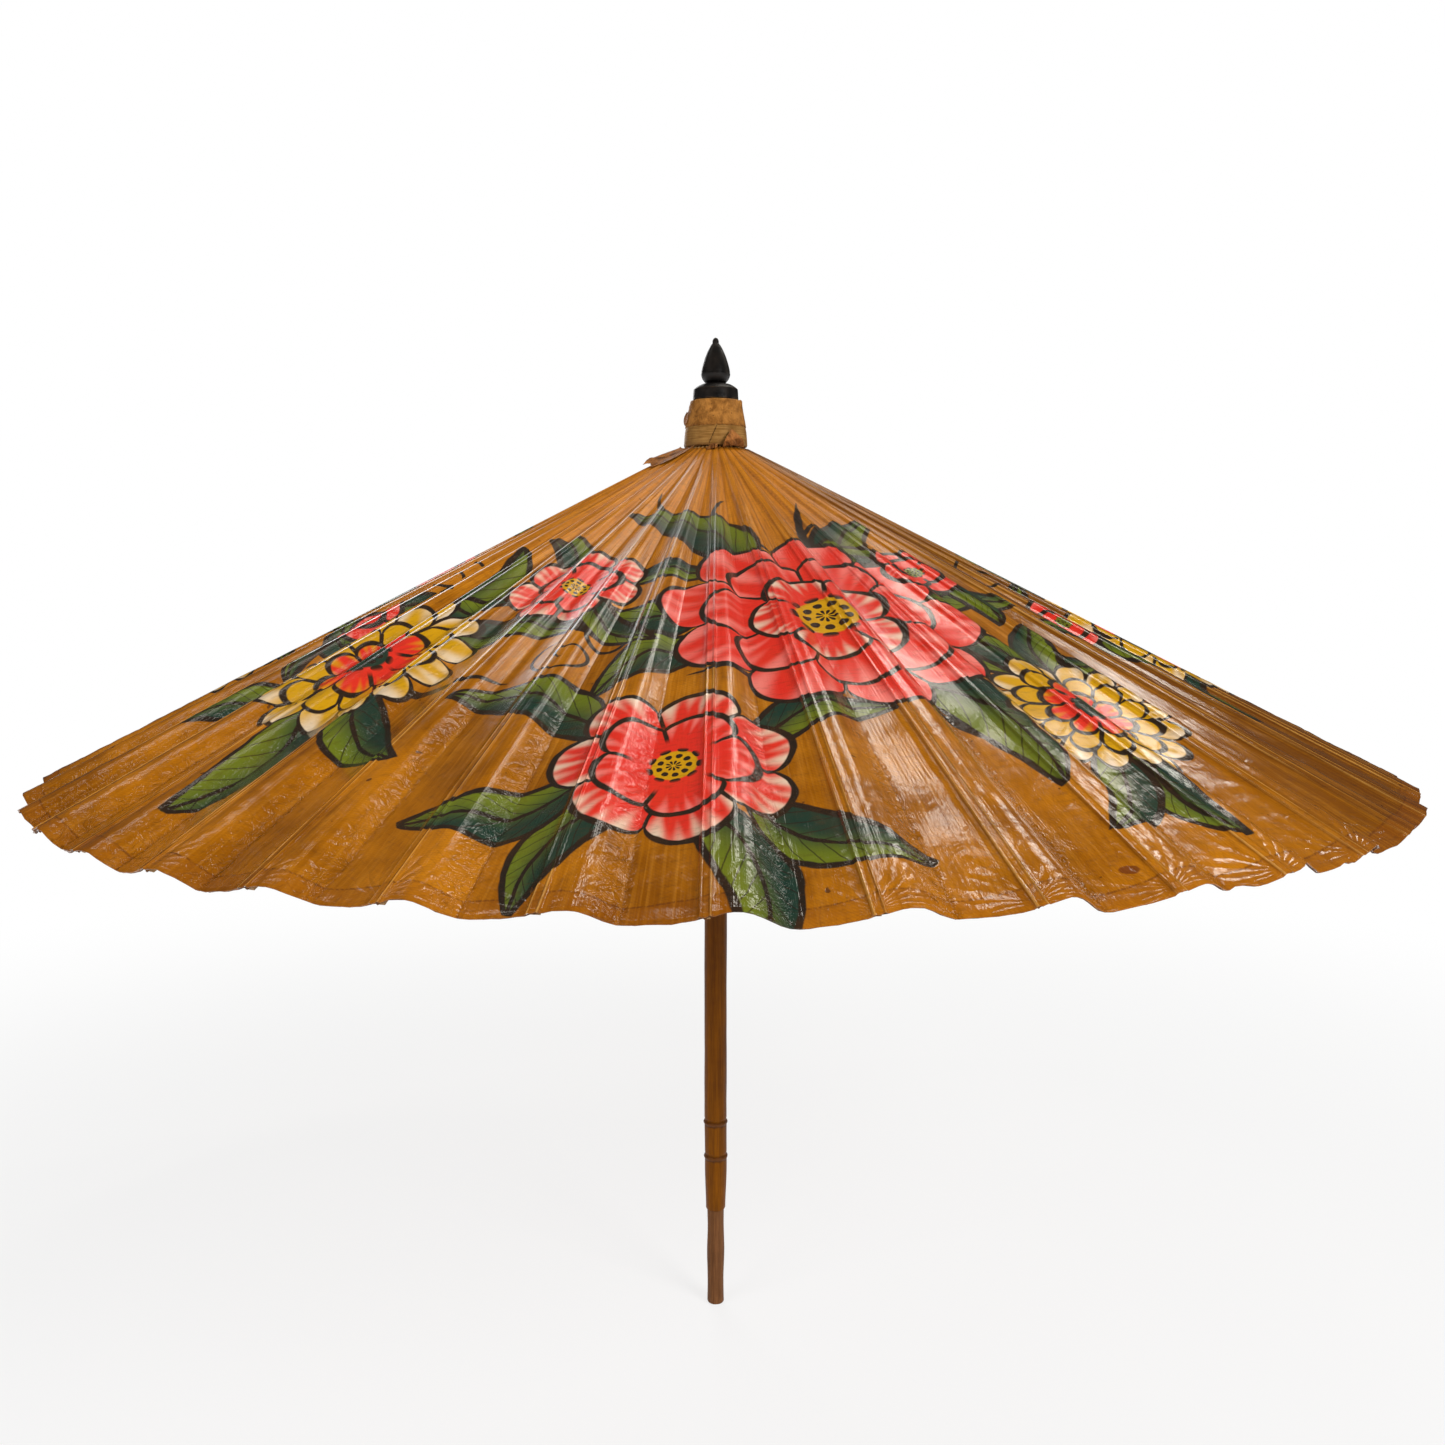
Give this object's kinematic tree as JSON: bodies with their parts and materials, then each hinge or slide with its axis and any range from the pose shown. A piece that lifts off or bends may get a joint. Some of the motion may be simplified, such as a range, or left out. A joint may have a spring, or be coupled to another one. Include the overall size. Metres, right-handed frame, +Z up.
{
  "type": "oil paper umbrella",
  "caption": "Oil paper umbrella with a round pleated canopy on bamboo ribs, which folds down along its straight bamboo shaft with a sliding runner.",
  "frame": {"origin": "centre of the dowel's flat bottom face, where a hand or a stand holds the grip", "axes": "+Z up along the shaft to the finial; -Y is the front of the picture; +X is to its right"},
  "size_m": [0.8402, 0.8422, 0.6709],
  "materials": {
    "bamboo": "brown bamboo, oiled and worn smooth",
    "rib_bamboo": "split bamboo, plain",
    "dowel_wood": "pinkish brown wood, satin",
    "pale_wood": "turned pale wood, bare",
    "lacquer": "turned wood, glossy black lacquer",
    "wrap_paper": "torn brown paper, matt",
    "oiled_paper": "amber oiled paper, glossy",
    "thread": "twisted brown thread"
  },
  "bodies": {
    "pole": {"shaft": "bamboo", "grip_dowel": "dowel_wood", "head_hub": "pale_wood", "hub_tie_thread": "thread", "head_wrap": "wrap_paper", "finial_collar": "lacquer", "finial": "lacquer", "catch_pin": "rib_bamboo"},
    "rib_01": {"rib_01": "rib_bamboo", "canopy_panel_01": "oiled_paper"},
    "stretcher_01": {"stretcher_01": "rib_bamboo"},
    "rib_02": {"rib_02": "rib_bamboo", "canopy_panel_02": "oiled_paper"},
    "stretcher_02": {"stretcher_02": "rib_bamboo"},
    "rib_03": {"rib_03": "rib_bamboo", "canopy_panel_03": "oiled_paper"},
    "stretcher_03": {"stretcher_03": "rib_bamboo"},
    "rib_04": {"rib_04": "rib_bamboo", "canopy_panel_04": "oiled_paper"},
    "stretcher_04": {"stretcher_04": "rib_bamboo"},
    "rib_05": {"rib_05": "rib_bamboo", "canopy_panel_05": "oiled_paper"},
    "stretcher_05": {"stretcher_05": "rib_bamboo"},
    "rib_06": {"rib_06": "rib_bamboo", "canopy_panel_06": "oiled_paper"},
    "stretcher_06": {"stretcher_06": "rib_bamboo"},
    "rib_07": {"rib_07": "rib_bamboo", "canopy_panel_07": "oiled_paper"},
    "stretcher_07": {"stretcher_07": "rib_bamboo"},
    "rib_08": {"rib_08": "rib_bamboo", "canopy_panel_08": "oiled_paper"},
    "stretcher_08": {"stretcher_08": "rib_bamboo"},
    "rib_09": {"rib_09": "rib_bamboo", "canopy_panel_09": "oiled_paper"},
    "stretcher_09": {"stretcher_09": "rib_bamboo"},
    "rib_10": {"rib_10": "rib_bamboo", "canopy_panel_10": "oiled_paper"},
    "stretcher_10": {"stretcher_10": "rib_bamboo"},
    "rib_11": {"rib_11": "rib_bamboo", "canopy_panel_11": "oiled_paper"},
    "stretcher_11": {"stretcher_11": "rib_bamboo"},
    "rib_12": {"rib_12": "rib_bamboo", "canopy_panel_12": "oiled_paper"},
    "stretcher_12": {"stretcher_12": "rib_bamboo"},
    "rib_13": {"rib_13": "rib_bamboo", "canopy_panel_13": "oiled_paper"},
    "stretcher_13": {"stretcher_13": "rib_bamboo"},
    "rib_14": {"rib_14": "rib_bamboo", "canopy_panel_14": "oiled_paper"},
    "stretcher_14": {"stretcher_14": "rib_bamboo"},
    "runner": {"runner": "pale_wood", "runner_tie_thread": "thread"},
    "catch": {"catch": "rib_bamboo"}
  },
  "joints": [
    {"name": "canopy_fold", "type": "hinge", "parent": "pole", "child": "rib_01", "pos_m": [0, -0.0155, 0.6007], "axis": [1, 0, 0], "range_deg": [0, 60.8], "deforming": ["canopy_panel_01", "canopy_panel_02", "canopy_panel_03", "canopy_panel_04", "canopy_panel_05", "canopy_panel_06", "canopy_panel_07", "canopy_panel_08", "canopy_panel_09", "canopy_panel_10", "canopy_panel_11", "canopy_panel_12", "canopy_panel_13", "canopy_panel_14", "catch"]},
    {"name": "stretcher_01_swing", "type": "hinge", "parent": "rib_01", "child": "stretcher_01", "pos_m": [0, -0.17367, 0.51469], "axis": [1, 0, 0], "range_deg": [-121.6, 0]},
    {"name": "rib_02_fold", "type": "hinge", "parent": "pole", "child": "rib_02", "pos_m": [0.00673, -0.01396, 0.6007], "axis": [0.901, 0.4339, 0], "range_deg": [0, 60.8]},
    {"name": "stretcher_02_swing", "type": "hinge", "parent": "rib_02", "child": "stretcher_02", "pos_m": [0.07536, -0.15648, 0.51469], "axis": [0.901, 0.4339, 0], "range_deg": [-121.6, 0]},
    {"name": "rib_03_fold", "type": "hinge", "parent": "pole", "child": "rib_03", "pos_m": [0.01212, -0.00966, 0.6007], "axis": [0.6235, 0.7818, 0], "range_deg": [0, 60.8]},
    {"name": "stretcher_03_swing", "type": "hinge", "parent": "rib_03", "child": "stretcher_03", "pos_m": [0.13578, -0.10829, 0.51469], "axis": [0.6235, 0.7818, 0], "range_deg": [-121.6, 0]},
    {"name": "rib_04_fold", "type": "hinge", "parent": "pole", "child": "rib_04", "pos_m": [0.01511, -0.00345, 0.6007], "axis": [0.2225, 0.9749, 0], "range_deg": [0, 60.8]},
    {"name": "stretcher_04_swing", "type": "hinge", "parent": "rib_04", "child": "stretcher_04", "pos_m": [0.16932, -0.03865, 0.51469], "axis": [0.2225, 0.9749, 0], "range_deg": [-121.6, 0]},
    {"name": "rib_05_fold", "type": "hinge", "parent": "pole", "child": "rib_05", "pos_m": [0.01511, 0.00345, 0.6007], "axis": [-0.2225, 0.9749, 0], "range_deg": [0, 60.8]},
    {"name": "stretcher_05_swing", "type": "hinge", "parent": "rib_05", "child": "stretcher_05", "pos_m": [0.16932, 0.03865, 0.51469], "axis": [-0.2225, 0.9749, 0], "range_deg": [-121.6, 0]},
    {"name": "rib_06_fold", "type": "hinge", "parent": "pole", "child": "rib_06", "pos_m": [0.01212, 0.00966, 0.6007], "axis": [-0.6235, 0.7818, 0], "range_deg": [0, 60.8]},
    {"name": "stretcher_06_swing", "type": "hinge", "parent": "rib_06", "child": "stretcher_06", "pos_m": [0.13578, 0.10829, 0.51469], "axis": [-0.6235, 0.7818, 0], "range_deg": [-121.6, 0]},
    {"name": "rib_07_fold", "type": "hinge", "parent": "pole", "child": "rib_07", "pos_m": [0.00673, 0.01396, 0.6007], "axis": [-0.901, 0.4339, 0], "range_deg": [0, 60.8]},
    {"name": "stretcher_07_swing", "type": "hinge", "parent": "rib_07", "child": "stretcher_07", "pos_m": [0.07536, 0.15648, 0.51469], "axis": [-0.901, 0.4339, 0], "range_deg": [-121.6, 0]},
    {"name": "rib_08_fold", "type": "hinge", "parent": "pole", "child": "rib_08", "pos_m": [0, 0.0155, 0.6007], "axis": [-1, 0, 0], "range_deg": [0, 60.8]},
    {"name": "stretcher_08_swing", "type": "hinge", "parent": "rib_08", "child": "stretcher_08", "pos_m": [0, 0.17367, 0.51469], "axis": [-1, 0, 0], "range_deg": [-121.6, 0]},
    {"name": "rib_09_fold", "type": "hinge", "parent": "pole", "child": "rib_09", "pos_m": [-0.00673, 0.01396, 0.6007], "axis": [-0.901, -0.4339, 0], "range_deg": [0, 60.8]},
    {"name": "stretcher_09_swing", "type": "hinge", "parent": "rib_09", "child": "stretcher_09", "pos_m": [-0.07536, 0.15648, 0.51469], "axis": [-0.901, -0.4339, 0], "range_deg": [-121.6, 0]},
    {"name": "rib_10_fold", "type": "hinge", "parent": "pole", "child": "rib_10", "pos_m": [-0.01212, 0.00966, 0.6007], "axis": [-0.6235, -0.7818, 0], "range_deg": [0, 60.8]},
    {"name": "stretcher_10_swing", "type": "hinge", "parent": "rib_10", "child": "stretcher_10", "pos_m": [-0.13578, 0.10829, 0.51469], "axis": [-0.6235, -0.7818, 0], "range_deg": [-121.6, 0]},
    {"name": "rib_11_fold", "type": "hinge", "parent": "pole", "child": "rib_11", "pos_m": [-0.01511, 0.00345, 0.6007], "axis": [-0.2225, -0.9749, 0], "range_deg": [0, 60.8]},
    {"name": "stretcher_11_swing", "type": "hinge", "parent": "rib_11", "child": "stretcher_11", "pos_m": [-0.16932, 0.03865, 0.51469], "axis": [-0.2225, -0.9749, 0], "range_deg": [-121.6, 0]},
    {"name": "rib_12_fold", "type": "hinge", "parent": "pole", "child": "rib_12", "pos_m": [-0.01511, -0.00345, 0.6007], "axis": [0.2225, -0.9749, 0], "range_deg": [0, 60.8]},
    {"name": "stretcher_12_swing", "type": "hinge", "parent": "rib_12", "child": "stretcher_12", "pos_m": [-0.16932, -0.03865, 0.51469], "axis": [0.2225, -0.9749, 0], "range_deg": [-121.6, 0]},
    {"name": "rib_13_fold", "type": "hinge", "parent": "pole", "child": "rib_13", "pos_m": [-0.01212, -0.00966, 0.6007], "axis": [0.6235, -0.7818, 0], "range_deg": [0, 60.8]},
    {"name": "stretcher_13_swing", "type": "hinge", "parent": "rib_13", "child": "stretcher_13", "pos_m": [-0.13578, -0.10829, 0.51469], "axis": [0.6235, -0.7818, 0], "range_deg": [-121.6, 0]},
    {"name": "rib_14_fold", "type": "hinge", "parent": "pole", "child": "rib_14", "pos_m": [-0.00673, -0.01396, 0.6007], "axis": [0.901, -0.4339, 0], "range_deg": [0, 60.8]},
    {"name": "stretcher_14_swing", "type": "hinge", "parent": "rib_14", "child": "stretcher_14", "pos_m": [-0.07536, -0.15648, 0.51469], "axis": [0.901, -0.4339, 0], "range_deg": [-121.6, 0]},
    {"name": "runner_pivot", "type": "hinge", "parent": "stretcher_01", "child": "runner", "pos_m": [0, -0.0155, 0.42867], "axis": [1, 0, 0], "range_deg": [0, 60.8]},
    {"name": "catch_press", "type": "hinge", "parent": "pole", "child": "catch", "pos_m": [0.0057, 0, 0.33937], "axis": [0, -1, 0], "range_deg": [0, 4], "stiffness_Nm_per_rad": 1}
  ],
  "couplings": [
    {"joint": "stretcher_01_swing", "follows": "canopy_fold", "ratio": -2},
    {"joint": "rib_02_fold", "follows": "canopy_fold", "ratio": 1},
    {"joint": "stretcher_02_swing", "follows": "canopy_fold", "ratio": -2},
    {"joint": "rib_03_fold", "follows": "canopy_fold", "ratio": 1},
    {"joint": "stretcher_03_swing", "follows": "canopy_fold", "ratio": -2},
    {"joint": "rib_04_fold", "follows": "canopy_fold", "ratio": 1},
    {"joint": "stretcher_04_swing", "follows": "canopy_fold", "ratio": -2},
    {"joint": "rib_05_fold", "follows": "canopy_fold", "ratio": 1},
    {"joint": "stretcher_05_swing", "follows": "canopy_fold", "ratio": -2},
    {"joint": "rib_06_fold", "follows": "canopy_fold", "ratio": 1},
    {"joint": "stretcher_06_swing", "follows": "canopy_fold", "ratio": -2},
    {"joint": "rib_07_fold", "follows": "canopy_fold", "ratio": 1},
    {"joint": "stretcher_07_swing", "follows": "canopy_fold", "ratio": -2},
    {"joint": "rib_08_fold", "follows": "canopy_fold", "ratio": 1},
    {"joint": "stretcher_08_swing", "follows": "canopy_fold", "ratio": -2},
    {"joint": "rib_09_fold", "follows": "canopy_fold", "ratio": 1},
    {"joint": "stretcher_09_swing", "follows": "canopy_fold", "ratio": -2},
    {"joint": "rib_10_fold", "follows": "canopy_fold", "ratio": 1},
    {"joint": "stretcher_10_swing", "follows": "canopy_fold", "ratio": -2},
    {"joint": "rib_11_fold", "follows": "canopy_fold", "ratio": 1},
    {"joint": "stretcher_11_swing", "follows": "canopy_fold", "ratio": -2},
    {"joint": "rib_12_fold", "follows": "canopy_fold", "ratio": 1},
    {"joint": "stretcher_12_swing", "follows": "canopy_fold", "ratio": -2},
    {"joint": "rib_13_fold", "follows": "canopy_fold", "ratio": 1},
    {"joint": "stretcher_13_swing", "follows": "canopy_fold", "ratio": -2},
    {"joint": "rib_14_fold", "follows": "canopy_fold", "ratio": 1},
    {"joint": "stretcher_14_swing", "follows": "canopy_fold", "ratio": -2},
    {"joint": "runner_pivot", "follows": "canopy_fold", "ratio": 1}
  ]
}
